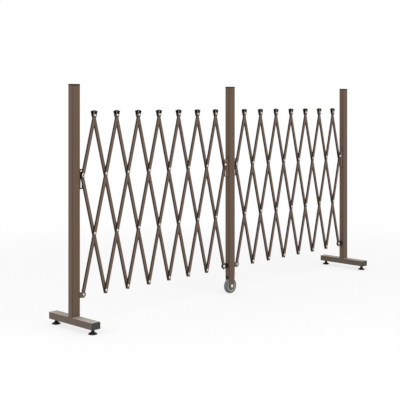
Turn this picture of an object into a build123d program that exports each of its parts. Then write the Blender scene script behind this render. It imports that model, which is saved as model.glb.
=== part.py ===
"""Expandable safety barrier: two scissor lattice panels between three upright posts.

X runs along the barrier, Y is its depth with the front towards -Y, and Z is up.
The origin is on the floor under the middle of the centre post. The end stands are at
minus X (left) and plus X (right), and each panel counts its pivots from its left end.
"""

import os
from math import asin, atan, cos, degrees, radians, sin

from build123d import *

os.makedirs("parts", exist_ok=True)

# Overall height, from the floor to the top of the post caps
barrier_height = 1200.0

# How far every cut runs past the face that it opens
cut_overrun = 1.0

# Posts
post_width = 50.0
post_depth = 30.0
post_wall = 1.8
post_corner_radius = 2.0
post_cap_height = 8.0
post_cap_overhang = 0.6
post_cap_chamfer = 1.2
post_cap_plug_depth = 14.0
plug_fit = 0.2

# Base bars of the end stands
base_length = 342.0
base_width = 50.0
base_height = 34.0
base_wall = 2.5
base_corner_radius = 2.0
base_cap_thickness = 4.0
base_cap_chamfer = 1.2
base_cap_plug_depth = 16.0

# Levelling feet, each set in from an end of its base bar
foot_inset = 27.5
foot_height = 26.0
foot_sides = 16
foot_pad_diameter = 44.0
foot_pad_rim = 3.0
foot_cone_height = 14.0
foot_neck_diameter = 16.0
foot_neck_gap = 4.0
foot_stem_diameter = 10.0
foot_stem_reach = 20.0
foot_stem_clearance = 0.1

# Lattice: the length between two pivots of a bar, and how far the bars lean from upright
field_length = 303.5
rest_lean = 14.15
open_lean = 29.15
closed_bar_gap = 1.8
fields_per_panel = 7
fields_per_bar = 3
pivot_height = 162.0
pivot_reach = 26.0

# Bars
bar_width = 19.0
bar_thickness = 8.0
bar_edge_chamfer = 0.8
layer_gap = 0.5
bar_top_extension = 22.5
bar_end_extension = 17.0
bar_plug_thickness = 2.5
bar_cap_length = 34.0
bar_cap_wall = 1.0
bar_cap_top = 2.0
bar_cap_chamfer = 1.5

# Rivets at the crossings, and the pins that join the bars to the posts. There are many of
# them, so their rounds have few sides, with corners on the diameter. A hole's flats clear it.
rivet_sides = 8
pin_sides = 10
rivet_diameter = 5.0
rivet_tail = 1.2
pin_diameter = 6.0
pin_clearance = 0.1
pin_end_play = 0.3
pin_washer_diameter = 17.0
pin_washer_thickness = 1.5
pin_tail_diameter = 12.0
pin_tail_thickness = 1.8

# Brackets on the side faces of the posts
bracket_gap = 0.5
bracket_plate_thickness = 2.0
bracket_flange_thickness = 2.5
bracket_flange_width = 21.0
bracket_corner_chamfer = 3.0
slot_side_clearance = 1.0
slot_end_clearance = 4.0
slot_rim = 5.0
slide_flange_margin = 10.0
pivot_plate_height = 28.0
pivot_screw_spacing = 15.0
screw_flats = 8.0
screw_head_height = 3.5

# Wheel and its axle, in the fork that the foot of the centre post is cut to
wheel_diameter = 85.0
tyre_width = 24.0
tyre_depth = 10.5
hub_side_play = 0.5
hub_boss_diameter = 26.0
hub_disc_width = 20.0
axle_diameter = 8.0
axle_clearance = 0.1
axle_head_diameter = 19.0
axle_head_height = 8.0
axle_nut_flats = 13.0
axle_nut_height = 6.0
fork_wheel_gap = 17.0
fork_end_radius = 19.0
fork_shoulder_height = 8.0

# Worked out from the sizes above: heights
tube_top = barrier_height - post_cap_height
base_top = foot_height + base_height
base_middle = foot_height + base_height / 2
base_tube_length = base_length - 2 * base_cap_thickness
foot_y = base_length / 2 - foot_inset
axle_height = wheel_diameter / 2
fork_top = wheel_diameter + fork_wheel_gap
hub_width = post_depth - 2 * post_wall - 2 * hub_side_play

# The two layers of bars, and the bracket plates behind them, in depth
front_layer_back = -layer_gap / 2
front_layer_front = front_layer_back - bar_thickness
back_layer_front = layer_gap / 2
back_layer_back = back_layer_front + bar_thickness
plate_front = back_layer_back + bracket_gap
plate_back = plate_front + bracket_plate_thickness
flange_middle = plate_back - bracket_flange_width / 2

# The lattice along the barrier
closed_pitch = bar_width + 2 * bar_cap_wall + closed_bar_gap
closed_lean = degrees(asin(closed_pitch / (2 * field_length)))
pitch = 2 * field_length * sin(radians(rest_lean))
panel_width = fields_per_panel * pitch
post_spacing = post_width + 2 * pivot_reach + panel_width
left_panel_start = -post_width / 2 - pivot_reach - panel_width
right_panel_start = post_width / 2 + pivot_reach
end_pivots = (0, fields_per_panel)

# The slot, which the upper pins travel along as the lattice folds
slide_level = fields_per_bar - 1
slot_bottom = pivot_height + slide_level * field_length * cos(radians(open_lean))
slot_bottom -= pin_diameter / 2 + slot_end_clearance
slot_top = pivot_height + slide_level * field_length * cos(radians(closed_lean))
slot_top += pin_diameter / 2 + slot_end_clearance
slide_plate_bottom = slot_bottom - slot_rim
slide_plate_top = slot_top + slot_rim


def save(name, pieces):
    """Write one node. Its pieces stay separate solids."""
    node = pieces[0] if len(pieces) == 1 else Compound(children=pieces)
    node.label = name
    export_step(node, f"parts/{name}.step")


def front_plane(x, y, z, lean=0):
    """Plane that faces the front, with its upright turned to the right by this many degrees."""
    turn = radians(lean)
    return Plane(origin=(x, y, z), x_dir=(cos(turn), 0, -sin(turn)), z_dir=(0, -1, 0))


def along_bar(level):
    """Place of a pivot on a bar, measured along it from the lowest row."""
    return level * field_length


def bar_span(levels):
    """Start and end of a bar, measured along it like its pivots."""
    start = along_bar(levels[0]) - bar_end_extension
    if levels[-1] == fields_per_bar:
        return start, along_bar(levels[-1]) + bar_top_extension
    return start, along_bar(levels[-1]) + bar_end_extension


def bar_body(foot_x, lean, layer_back, levels, holes):
    """Flat bar between its plugs. holes gives the pivot's diameter and sides by its level."""
    start, end = bar_span(levels)
    body_start = start + bar_plug_thickness
    body_end = end if levels[-1] == fields_per_bar else end - bar_plug_thickness
    with BuildPart() as bar:
        with BuildSketch(front_plane(foot_x, layer_back, pivot_height, lean)):
            with Locations((0, (body_start + body_end) / 2)):
                Rectangle(bar_width, body_end - body_start)
        extrude(amount=bar_thickness)
        chamfer(bar.edges().sort_by(SortBy.LENGTH)[-4:], bar_edge_chamfer)
        if holes:
            with BuildSketch(front_plane(foot_x, layer_back + cut_overrun, pivot_height, lean)):
                for level, (diameter, sides) in holes.items():
                    with Locations((0, along_bar(level))):
                        RegularPolygon(diameter / 2 + pin_clearance, sides, major_radius=False)
            extrude(amount=bar_thickness + 2 * cut_overrun, mode=Mode.SUBTRACT)
    return bar.part


def bar_plugs(foot_x, lean, layer_back, levels):
    """Dark plugs that close the ends without a cap."""
    start, end = bar_span(levels)
    middles = [start + bar_plug_thickness / 2]
    if levels[-1] < fields_per_bar:
        middles.append(end - bar_plug_thickness / 2)
    with BuildPart() as plugs:
        with BuildSketch(front_plane(foot_x, layer_back, pivot_height, lean)):
            for middle in middles:
                with Locations((0, middle)):
                    Rectangle(bar_width, bar_plug_thickness)
        extrude(amount=bar_thickness)
    return plugs.part.solids()


def sleeve_cap(foot_x, lean, layer_back, levels):
    """Cap over a bar's upper end, as far as below its last pivot.

    It is open towards the other layer, so the layers can fold, and a back cap is drilled for
    the rivet.
    """
    bar_end = bar_span(levels)[1]
    cap_end = bar_end + bar_cap_top
    cap_start = cap_end - bar_cap_length
    in_front_layer = layer_back == front_layer_back
    cap_back = layer_back if in_front_layer else layer_back + bar_cap_wall
    outside = front_plane(foot_x, cap_back, pivot_height, lean)
    rivet_hole = rivet_diameter / 2 + pin_clearance
    with BuildPart() as cap:
        with BuildSketch(outside):
            with Locations((0, (cap_start + cap_end) / 2)):
                Rectangle(bar_width + 2 * bar_cap_wall, cap_end - cap_start)
        extrude(amount=bar_thickness + bar_cap_wall)
        top_face = cap.faces().sort_by(Axis((0, 0, 0), outside.y_dir))[-1]
        chamfer(top_face.edges().filter_by(Axis.Y), bar_cap_chamfer)
        with BuildSketch(front_plane(foot_x, layer_back, pivot_height, lean)):
            with Locations((0, (cap_start + bar_end) / 2)):
                Rectangle(bar_width, bar_end - cap_start)
        extrude(amount=bar_thickness, mode=Mode.SUBTRACT)
        if not in_front_layer:
            with BuildSketch(front_plane(foot_x, cap_back + cut_overrun, pivot_height, lean)):
                with Locations((0, along_bar(fields_per_bar))):
                    RegularPolygon(rivet_hole, rivet_sides, major_radius=False)
            extrude(amount=bar_cap_wall + 2 * cut_overrun, mode=Mode.SUBTRACT)
    return cap.part


def rivets(foot_x, lean, levels):
    """Rivets that stand on the back of a front bar and pass through the bars behind it."""
    with BuildPart() as studs:
        with BuildSketch(front_plane(foot_x, front_layer_back, pivot_height, lean)):
            for level in levels:
                with Locations((0, along_bar(level))):
                    RegularPolygon(rivet_diameter / 2, rivet_sides)
        extrude(amount=-(layer_gap + bar_thickness + rivet_tail))
    return studs.part.solids()


def slide_pin(foot_x, lean, level, plate_in_front):
    """Pin of a front bar through the slot of a bracket, with its head outside the plate.

    Where the plate is behind the bars, the pin passes the back bar too, and has a washer in
    front. Where the plate is in front, its other end passes the back bar and is riveted there.
    """
    through_bar = layer_gap + bar_thickness + rivet_tail
    if plate_in_front:
        pin_start, pin_end, head = front_layer_front, -plate_back - bracket_gap, pin_tail_thickness
        other_start, other_diameter, other_end = front_layer_back, pin_diameter, -through_bar
    else:
        pin_start, pin_end, head = front_layer_back, plate_back + bracket_gap, -pin_tail_thickness
        other_start, other_diameter = front_layer_front, pin_washer_diameter
        other_end = pin_washer_thickness
    with BuildPart() as pin:
        with BuildSketch(front_plane(foot_x, pin_start, pivot_height, lean)):
            with Locations((0, along_bar(level))):
                RegularPolygon(pin_diameter / 2, pin_sides)
        extrude(amount=pin_start - pin_end)
        with BuildSketch(front_plane(foot_x, pin_end, pivot_height, lean)):
            with Locations((0, along_bar(level))):
                RegularPolygon(pin_tail_diameter / 2, pin_sides)
        extrude(amount=head)
    with BuildPart() as other:
        with BuildSketch(front_plane(foot_x, other_start, pivot_height, lean)):
            with Locations((0, along_bar(level))):
                RegularPolygon(other_diameter / 2, pin_sides)
        extrude(amount=other_end)
    return [pin.part, other.part]


def front_bar(panel_start, index):
    """Bar that leans to the right, in the front layer. It carries rivets at its crossings.

    index counts the pitches from the panel's start to where the bar meets the lowest row.
    """
    lowest = max(0, -2 * index)
    highest = min(fields_per_bar, 2 * (fields_per_panel - index))
    levels = range(lowest, highest + 1)
    foot_x = panel_start + index * pitch
    crossings = [level for level in levels if index + level / 2 not in end_pivots]
    post_pivots = [level for level in levels if index + level / 2 in end_pivots]
    holes = {level: (pin_diameter, pin_sides) for level in post_pivots if level == 0}
    pieces = [bar_body(foot_x, rest_lean, front_layer_back, levels, holes)]
    pieces.extend(bar_plugs(foot_x, rest_lean, front_layer_back, levels))
    if highest == fields_per_bar:
        pieces.append(sleeve_cap(foot_x, rest_lean, front_layer_back, levels))
    pieces.extend(rivets(foot_x, rest_lean, crossings))
    if slide_level in post_pivots:
        at_right_end = index > 0
        pieces.extend(slide_pin(foot_x, rest_lean, slide_level, at_right_end))
    return pieces


def back_bar(panel_start, index):
    """Bar that leans to the left, in the back layer. Rivets and pins turn in its holes.

    index counts the pitches from the panel's start to where the bar meets the lowest row.
    """
    lowest = max(0, 2 * (index - fields_per_panel))
    highest = min(fields_per_bar, 2 * index)
    levels = range(lowest, highest + 1)
    foot_x = panel_start + index * pitch
    holes = {}
    for level in levels:
        held_by_pin = index - level / 2 in end_pivots
        holes[level] = (pin_diameter, pin_sides) if held_by_pin else (rivet_diameter, rivet_sides)
    pieces = [bar_body(foot_x, -rest_lean, back_layer_back, levels, holes)]
    pieces.extend(bar_plugs(foot_x, -rest_lean, back_layer_back, levels))
    if highest == fields_per_bar:
        pieces.append(sleeve_cap(foot_x, -rest_lean, back_layer_back, levels))
    return pieces


def post_tube(x, bottom):
    """Rectangular tube of a post, from this height up to its cap."""
    with BuildPart() as tube:
        with BuildSketch(Plane.XY.offset(bottom)):
            with Locations((x, 0)):
                RectangleRounded(post_width, post_depth, post_corner_radius)
                Rectangle(
                    post_width - 2 * post_wall,
                    post_depth - 2 * post_wall,
                    mode=Mode.SUBTRACT,
                )
        extrude(amount=tube_top - bottom)
    return tube.part


def forked_post():
    """Centre post, whose front and back walls run on below the tube to hold the wheel."""
    tube = post_tube(0, fork_top)
    with BuildPart() as post:
        add(tube)
        with BuildSketch(front_plane(0, post_wall - post_depth / 2, 0)):
            with Locations((0, fork_top - fork_shoulder_height / 2)):
                Rectangle(post_width - 2 * post_corner_radius, fork_shoulder_height)
            with Locations((0, axle_height)):
                Circle(fork_end_radius)
            make_hull()
        extrude(amount=post_wall)
        mirror(about=Plane.XZ)
        with BuildSketch(front_plane(0, post_depth / 2 + cut_overrun, axle_height)):
            Circle(axle_diameter / 2 + axle_clearance)
        extrude(amount=post_depth + 2 * cut_overrun, mode=Mode.SUBTRACT)
    return post.part


def post_cap(x):
    """Low cap over the tube's rim, with a plug that fits inside the tube."""
    with BuildPart() as cap:
        with BuildSketch(Plane.XY.offset(tube_top)):
            with Locations((x, 0)):
                Rectangle(post_width + 2 * post_cap_overhang, post_depth + 2 * post_cap_overhang)
        extrude(amount=post_cap_height)
        chamfer(cap.faces().sort_by(Axis.Z)[-1].edges(), post_cap_chamfer)
        with BuildSketch(Plane.XY.offset(tube_top)):
            with Locations((x, 0)):
                Rectangle(
                    post_width - 2 * post_wall - 2 * plug_fit,
                    post_depth - 2 * post_wall - 2 * plug_fit,
                )
        extrude(amount=-post_cap_plug_depth)
    return cap.part


def base_bar(x):
    """Tube across the foot of an end post, with holes underneath for the feet's stems."""
    stem_hole = foot_stem_diameter / 2 + foot_stem_clearance
    with BuildPart() as bar:
        with BuildSketch(front_plane(x, base_tube_length / 2, base_middle)):
            RectangleRounded(base_width, base_height, base_corner_radius)
            Rectangle(base_width - 2 * base_wall, base_height - 2 * base_wall, mode=Mode.SUBTRACT)
        extrude(amount=base_tube_length)
        with BuildSketch(Plane.XY.offset(foot_height - cut_overrun)):
            with Locations((x, -foot_y), (x, foot_y)):
                RegularPolygon(stem_hole, pin_sides, major_radius=False)
        extrude(amount=base_wall + 2 * cut_overrun, mode=Mode.SUBTRACT)
    return bar.part


def base_end_cap(x, side):
    """Cap with a plug in one end of a base bar. side is -1 at the front and 1 at the back."""
    tube_end = Plane(
        origin=(x, side * base_tube_length / 2, base_middle),
        x_dir=(1, 0, 0),
        z_dir=(0, side, 0),
    )
    with BuildPart() as cap:
        with BuildSketch(tube_end):
            Rectangle(base_width, base_height)
        extrude(amount=base_cap_thickness)
        chamfer(cap.faces().sort_by(Axis((0, 0, 0), tube_end.z_dir))[-1].edges(), base_cap_chamfer)
        with BuildSketch(tube_end):
            Rectangle(
                base_width - 2 * base_wall - 2 * plug_fit,
                base_height - 2 * base_wall - 2 * plug_fit,
            )
        extrude(amount=-base_cap_plug_depth)
    return cap.part


def levelling_foot(x, y):
    """Pad that rises in a cone to a neck, on a stem that goes up into the base bar."""
    pad = foot_pad_diameter / 2
    neck = foot_neck_diameter / 2
    neck_top = foot_height - foot_neck_gap
    cone_rise = foot_cone_height - foot_pad_rim
    with BuildPart() as foot:
        with BuildSketch(Plane((x, y, 0))):
            RegularPolygon(pad, foot_sides)
        extrude(amount=foot_pad_rim)
        with BuildSketch(Plane((x, y, foot_pad_rim))):
            RegularPolygon(pad, foot_sides)
        extrude(amount=cone_rise, taper=degrees(atan((pad - neck) / cone_rise)))
        with BuildSketch(Plane((x, y, foot_pad_rim))):
            RegularPolygon(neck, foot_sides)
        extrude(amount=neck_top - foot_pad_rim)
        with BuildSketch(Plane((x, y, neck_top))):
            RegularPolygon(foot_stem_diameter / 2, pin_sides)
        extrude(amount=foot_height + foot_stem_reach - neck_top)
    return foot.part


def angle_bracket(face_x, side, bottom, top, reach, flange_margin):
    """Angle on the side face of a post: a flange on the post, and a plate along the bars' back.

    side is 1 where the bars are to the right of the face, and -1 where they are to its left.
    """
    with BuildPart() as angle:
        with BuildSketch(Plane.XY.offset(bottom - flange_margin)):
            with Locations((face_x + side * bracket_flange_thickness / 2, flange_middle)):
                Rectangle(bracket_flange_thickness, bracket_flange_width)
        extrude(amount=top - bottom + 2 * flange_margin)
        with BuildSketch(Plane.XY.offset(bottom)):
            with Locations((face_x + side * reach / 2, (plate_front + plate_back) / 2)):
                Rectangle(reach, bracket_plate_thickness)
        extrude(amount=top - bottom)
    return angle.part


def slide_bracket(face_x, side):
    """Tall angle with the upright slot that guides the pin of the upper row.

    To the right of a post its plate is behind the bars. To the left of a post it is in front
    of them, so the angle is mirrored.
    """
    slot_width = pin_diameter + 2 * slot_side_clearance
    reach = pivot_reach + slot_width / 2 + slot_rim
    angle = angle_bracket(
        face_x, side, slide_plate_bottom, slide_plate_top, reach, slide_flange_margin
    )
    slot_middle = (slot_bottom + slot_top) / 2
    with BuildPart() as bracket:
        add(angle)
        outer_face = bracket.faces().sort_by(Axis((0, 0, 0), (side, 0, 0)))[-1]
        chamfer(outer_face.edges().filter_by(Axis.Y), bracket_corner_chamfer)
        with BuildSketch(front_plane(face_x + side * pivot_reach, plate_back + cut_overrun, slot_middle)):
            SlotOverall(slot_top - slot_bottom, slot_width, rotation=90)
        extrude(amount=bracket_plate_thickness + 2 * cut_overrun, mode=Mode.SUBTRACT)
    return bracket.part if side > 0 else bracket.part.mirror(Plane.XZ)


def pivot_bracket(face_x, side):
    """Short angle with a round end, and the headed pin on which the lowest bar turns.

    To the left of a post that bar is in the back layer, with the plate behind it. To the right
    of a post it is in the front layer, with the plate in front of it, so all is mirrored.
    """
    end_radius = pivot_plate_height / 2
    pivot_x = face_x + side * pivot_reach
    plate_bottom = pivot_height - end_radius
    plate_top = pivot_height + end_radius
    head_back = back_layer_front - pin_end_play
    angle = angle_bracket(face_x, side, plate_bottom, plate_top, pivot_reach, 0)
    with BuildPart() as bracket:
        add(angle)
        with BuildSketch(front_plane(pivot_x, plate_back, pivot_height)):
            Circle(end_radius)
        extrude(amount=bracket_plate_thickness)
    with BuildPart() as pin:
        with BuildSketch(front_plane(pivot_x, plate_front, pivot_height)):
            RegularPolygon(pin_diameter / 2, pin_sides)
        extrude(amount=plate_front - head_back)
        with BuildSketch(front_plane(pivot_x, head_back, pivot_height)):
            RegularPolygon(pin_washer_diameter / 2, pin_sides)
        extrude(amount=pin_washer_thickness)
    if side < 0:
        return [bracket.part, pin.part]
    return [bracket.part.mirror(Plane.XZ), pin.part.mirror(Plane.XZ)]


def bracket_screws(face_x, side):
    """Hexagon heads of the screws that hold the two brackets of one post face."""
    pivot_screw_rise = pivot_screw_spacing / 2
    slide_screw_rise = slide_flange_margin / 2
    heights = (
        pivot_height - pivot_screw_rise,
        pivot_height + pivot_screw_rise,
        slide_plate_bottom - slide_screw_rise,
        slide_plate_top + slide_screw_rise,
    )
    flange_face = Plane(
        origin=(face_x + side * bracket_flange_thickness, flange_middle, 0),
        x_dir=(0, side, 0),
        z_dir=(side, 0, 0),
    )
    with BuildPart() as screws:
        with BuildSketch(flange_face):
            with Locations(*[(0, height) for height in heights]):
                RegularPolygon(screw_flats / 2, 6, major_radius=False)
        extrude(amount=screw_head_height)
    return screws.part.solids()


def wheel_plane():
    """Plane through the wheel's axle, with depth to its right and the radius as its upright."""
    return Plane(origin=(0, 0, axle_height), x_dir=(0, 1, 0), z_dir=(1, 0, 0))


def wheel_tyre():
    """Tyre on the rim of the hub."""
    with BuildPart() as tyre:
        with BuildSketch(wheel_plane()):
            with Locations((0, (wheel_diameter - tyre_depth) / 2)):
                Rectangle(tyre_width, tyre_depth)
        revolve(axis=Axis((0, 0, axle_height), (0, 1, 0)))
    return tyre.part


def wheel_hub():
    """Hub of the wheel: a bored boss, and the disc under the tyre."""
    bore = axle_diameter / 2 + axle_clearance
    boss = hub_boss_diameter / 2
    rim = wheel_diameter / 2 - tyre_depth
    with BuildPart() as hub:
        with BuildSketch(wheel_plane()):
            with Locations((0, (bore + boss) / 2)):
                Rectangle(hub_width, boss - bore)
            with Locations((0, (boss + rim) / 2)):
                Rectangle(hub_disc_width, rim - boss)
        revolve(axis=Axis((0, 0, axle_height), (0, 1, 0)))
    return hub.part


def wheel_axle():
    """Bolt through the fork and the hub, with its head in front and a closed nut behind."""
    with BuildPart() as bolt:
        with BuildSketch(front_plane(0, post_depth / 2, axle_height)):
            Circle(axle_diameter / 2)
        extrude(amount=post_depth)
        with BuildSketch(front_plane(0, -post_depth / 2, axle_height)):
            Circle(axle_head_diameter / 2)
        extrude(amount=axle_head_height)
    with BuildPart() as nut:
        with BuildSketch(front_plane(0, post_depth / 2, axle_height)):
            RegularPolygon(axle_nut_flats / 2, 6, major_radius=False)
        extrude(amount=-axle_nut_height)
    return [bolt.part, nut.part]


def save_end_stand(name, x, side):
    """End post on its base bar. side is 1 where the bars are to its right, otherwise -1."""
    face_x = x + side * post_width / 2
    save(f"{name}_post", [post_tube(x, base_top)])
    save(f"{name}_post_cap", [post_cap(x)])
    save(f"{name}_base_bar", [base_bar(x)])
    save(f"{name}_base_end_caps", [base_end_cap(x, -1), base_end_cap(x, 1)])
    save(f"{name}_front_foot", [levelling_foot(x, -foot_y)])
    save(f"{name}_rear_foot", [levelling_foot(x, foot_y)])
    save(f"{name}_slide_bracket", [slide_bracket(face_x, side)])
    save(f"{name}_pivot_bracket", pivot_bracket(face_x, side))
    save(f"{name}_bracket_screws", bracket_screws(face_x, side))


def save_centre_post():
    """Centre post on its wheel, with brackets on both side faces."""
    left_face = -post_width / 2
    right_face = post_width / 2
    save("centre_post", [forked_post()])
    save("centre_post_cap", [post_cap(0)])
    save("centre_slide_brackets", [slide_bracket(left_face, -1), slide_bracket(right_face, 1)])
    save("centre_pivot_brackets", pivot_bracket(left_face, -1) + pivot_bracket(right_face, 1))
    save("centre_bracket_screws", bracket_screws(left_face, -1) + bracket_screws(right_face, 1))
    save("wheel_tyre", [wheel_tyre()])
    save("wheel_hub", [wheel_hub()])
    save("wheel_axle", wheel_axle())


def save_panel(name, panel_start):
    """All bars of one lattice panel, numbered from its left end."""
    for number in range(fields_per_panel + 1):
        save(f"{name}_front_bar_{number + 1}", front_bar(panel_start, number - 1))
        save(f"{name}_back_bar_{number + 1}", back_bar(panel_start, number + 1))


save_end_stand("left", -post_spacing, 1)
save_centre_post()
save_end_stand("right", post_spacing, -1)
save_panel("left", left_panel_start)
save_panel("right", right_panel_start)
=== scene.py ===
"""Expandable safety barrier: its pieces, finishes and studio stage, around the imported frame."""

from collections import namedtuple
from math import cos, pi, radians, sin

import bmesh
import bpy
from bpy.props import FloatProperty, FloatVectorProperty, IntProperty, PointerProperty
from mathutils import Color, Matrix, Vector


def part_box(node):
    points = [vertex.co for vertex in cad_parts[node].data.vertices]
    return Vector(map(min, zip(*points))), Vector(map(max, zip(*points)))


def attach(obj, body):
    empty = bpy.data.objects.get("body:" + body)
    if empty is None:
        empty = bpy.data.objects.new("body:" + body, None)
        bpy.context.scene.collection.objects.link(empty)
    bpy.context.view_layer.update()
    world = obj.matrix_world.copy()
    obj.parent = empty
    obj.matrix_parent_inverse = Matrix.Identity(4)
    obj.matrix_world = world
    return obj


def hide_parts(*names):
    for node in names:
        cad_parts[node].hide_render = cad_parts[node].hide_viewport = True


bl_info = {
    "name": "Expandable Safety Barrier",
    "version": (1, 0, 0),
    "blender": (4, 5, 0),
    "location": "View3D > Sidebar > Barrier",
    "description": "Dresses the expandable safety barrier for a studio picture",
    "category": "Object",
}

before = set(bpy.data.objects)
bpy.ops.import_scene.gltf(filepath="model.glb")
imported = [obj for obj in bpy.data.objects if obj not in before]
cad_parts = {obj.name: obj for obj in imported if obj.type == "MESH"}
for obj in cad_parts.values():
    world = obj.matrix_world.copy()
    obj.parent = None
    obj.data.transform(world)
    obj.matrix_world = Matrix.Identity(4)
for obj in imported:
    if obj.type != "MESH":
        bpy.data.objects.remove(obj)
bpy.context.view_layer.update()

MM = 0.001
TO_FRONT = Matrix.Rotation(radians(90), 4, "X")
TO_BACK = Matrix.Rotation(pi, 4, "Z") @ TO_FRONT
SIDES = ("left", "right")
POSTS = (("left", "left_stand"), ("centre", "centre_post"), ("right", "right_stand"))

# Meshes
SHARP = 38
CUT_EDGE = 0.3 * MM
SLEEVE_COVER = 0.1 * MM
WELD_LEG = 2.6 * MM
WELD_SINK = 0.2 * MM
WELD_STEPS = 90
FLANGE_THICKNESS = 2.5 * MM
FLANGE_DEPTH = 21 * MM
PLATE_THICKNESS = 2 * MM

# Finishes
COLOUR = "NodeSocketColor"
VALUE = "NodeSocketFloat"
GREY = (0.5, 0.5, 0.5, 1)
WHITE = (1, 1, 1, 1)
COAT = {"grain": 1500.0, "bump": 0.22}
MOULDING = {"grain": 1100.0, "bump": 0.3}
GRAIN_DEPTH = 0.2 * MM
SHADE_SWING = 0.16
ROUGHNESS_SWING = 0.22

# Stage
FLOOR_REACH = 40
LAMP_SIZE = (3.0, 2.0)
OBJECT_MIDDLE = 0.6

Bar = namedtuple("Bar", "name foot lean first last crossings post_pivots")


def length(name, millimetres, description):
    """Property for one size of the barrier."""
    size = millimetres * MM
    return FloatProperty(name=name, description=description, default=size, unit="LENGTH")


def colour(name, red, green, blue, description):
    """Property for one colour, as it is seen on a screen from 0 to 255."""
    return FloatVectorProperty(
        name=name,
        description=description,
        default=(red / 255, green / 255, blue / 255),
        min=0,
        max=1,
        subtype="COLOR_GAMMA",
    )


def power(name, watts, description):
    """Property for the power of a lamp."""
    return FloatProperty(name=name, description=description, default=watts, min=0, unit="POWER")


class BarrierSizes(bpy.types.PropertyGroup):
    """Sizes that the pieces are made to."""

    field_length: length("Field length", 303.5, "Length of a bar between two of its pivots")
    rest_lean: FloatProperty(
        name="Lean at rest",
        description="How far the bars lean from upright",
        default=radians(14.15),
        unit="ROTATION",
    )
    fields_per_panel: IntProperty(
        name="Fields per panel", description="Pivots along a panel, less one", default=7, min=2
    )
    fields_per_bar: IntProperty(
        name="Fields per bar", description="Pivots along a long bar, less one", default=3, min=1
    )
    pivot_height: length("Pivot height", 162, "Height of the lowest row of pivots")
    pivot_reach: length("Pivot reach", 26, "Distance of the end pivots from the posts")
    bar_width: length("Bar width", 19, "Width of a bar as seen from the front")
    bar_thickness: length("Bar thickness", 8, "Depth of a bar")
    bar_edge_radius: length("Bar edge radius", 1.4, "Rounding of a bar's long edges")
    layer_gap: length("Layer gap", 0.5, "Gap between the two layers of bars")
    top_extension: length("Top extension", 22.5, "Bar above its highest pivot, without the cap")
    end_extension: length("End extension", 17, "Bar beyond a pivot at a plugged end")
    plug_thickness: length("Plug thickness", 2.5, "Part of a bar plug that shows")
    sleeve_length: length("Sleeve cap length", 34, "Length of the caps at the top of the bars")
    sleeve_top: length("Sleeve cap top", 2, "How far a sleeve cap stands over the bar's end")
    sleeve_wall: length("Sleeve cap wall", 1, "Wall of a sleeve cap")
    sleeve_flare: length("Sleeve cap flare", 1.4, "How much wider a sleeve cap is at its top")
    rivet_head: length("Rivet head", 11.8, "Diameter of the rivet heads in front")
    rivet_tail: length("Rivet tail", 8.4, "Diameter of the rivet tails behind")
    pin_washer: length("Pin washer", 17, "Diameter of the washers at the post pivots")
    pivot_plate: length("Pivot plate", 28, "Height of the brackets of the lowest pivots")
    screw_flats: length("Screw flats", 8, "Width across the flats of the bracket screws")
    coat_edge_radius: length("Coated edge radius", 0.5, "Rounding of coated sheet metal edges")


class BarrierColours(bpy.types.PropertyGroup):
    """Colours of the finishes."""

    post_coat: colour("Post coat", 90, 70, 55, "Powder coat of the posts")
    base_coat: colour("Base coat", 80, 66, 54, "Powder coat of the base bars")
    plate_coat: colour("Plate coat", 86, 76, 69, "Coat of the pivot plates in front of the bars")
    bar_coat: colour("Bar coat", 92, 74, 62, "Powder coat of the lattice bars")
    # Painted shade: the dark tone on the bars' narrow sides, which carry the same coat as the
    # faces.
    bar_side: colour("Bar side", 16, 12, 10, "Painted shade on the narrow sides of the bars")
    sleeve_plastic: colour("Sleeve caps", 12, 11, 10, "Plastic of the caps on the bars")
    # Painted highlight along two rounded edges of the front caps.
    sleeve_edge: colour("Sleeve cap edge highlight", 140, 135, 128, "Painted highlight on two rounded edges of the caps on the bars")
    cap_plastic: colour("Post caps", 17, 15, 14, "Plastic of the post caps")
    # Dark tone: the screws' coat, and painted shade on the brackets behind the bars.
    bracket_coat: colour("Bracket coat", 38, 34, 31, "Dark coat of the screws, and painted shade on the brackets behind the bars")
    end_plastic: colour("End caps", 34, 40, 36, "Plastic of the base bars' end caps and bar plugs")
    foot_plastic: colour("Feet", 10, 10, 11, "Plastic of the levelling feet")
    zinc: colour("Zinc", 222, 219, 212, "Zinc plate of rivets, washers, pins and screws")
    tyre: colour("Tyre", 90, 97, 95, "Rubber of the wheel")
    hub: colour("Hub", 120, 120, 114, "Plastic of the wheel's hub")
    hub_ring: colour("Hub ring", 176, 175, 168, "Rim ring of the wheel's hub")
    # Dust colour, also used as painted light on the upward faces of the base bars.
    dust: colour("Dust", 186, 176, 168, "Dust and scuffs on the coat, and painted light on upward faces")


class StageSettings(bpy.types.PropertyGroup):
    """Camera and light of the picture."""

    camera_place: FloatVectorProperty(
        name="Camera place",
        description="Where the camera stands",
        default=(-3.8466, -3.4647, 1.1119),
        subtype="TRANSLATION",
        unit="LENGTH",
    )
    camera_turn: FloatProperty(
        name="Camera turn",
        description="Turn of the level view from straight ahead to the right",
        default=radians(46.05),
        unit="ROTATION",
    )
    camera_lens: FloatProperty(
        name="Lens", description="Focal length in millimetres", default=80.0, min=10
    )
    camera_shift: FloatProperty(
        name="Shift", description="Upright shift that frames the object", default=-0.2453
    )
    sky_strength: FloatProperty(
        name="Sky", description="Strength of the light from all round", default=0.78, min=0
    )
    lamp_power: power("Lamp", 60, "Power of the soft lamp in front")
    side_power: power("Side lamp", 60, "Power of the soft lamp on the left")


def linear(tone, factor=1.0):
    """Colour property as the linear colour that shaders use."""
    shade = Color(tone).from_srgb_to_scene_linear()
    return (shade.r * factor, shade.g * factor, shade.b * factor, 1.0)


# Mesh making


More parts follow.
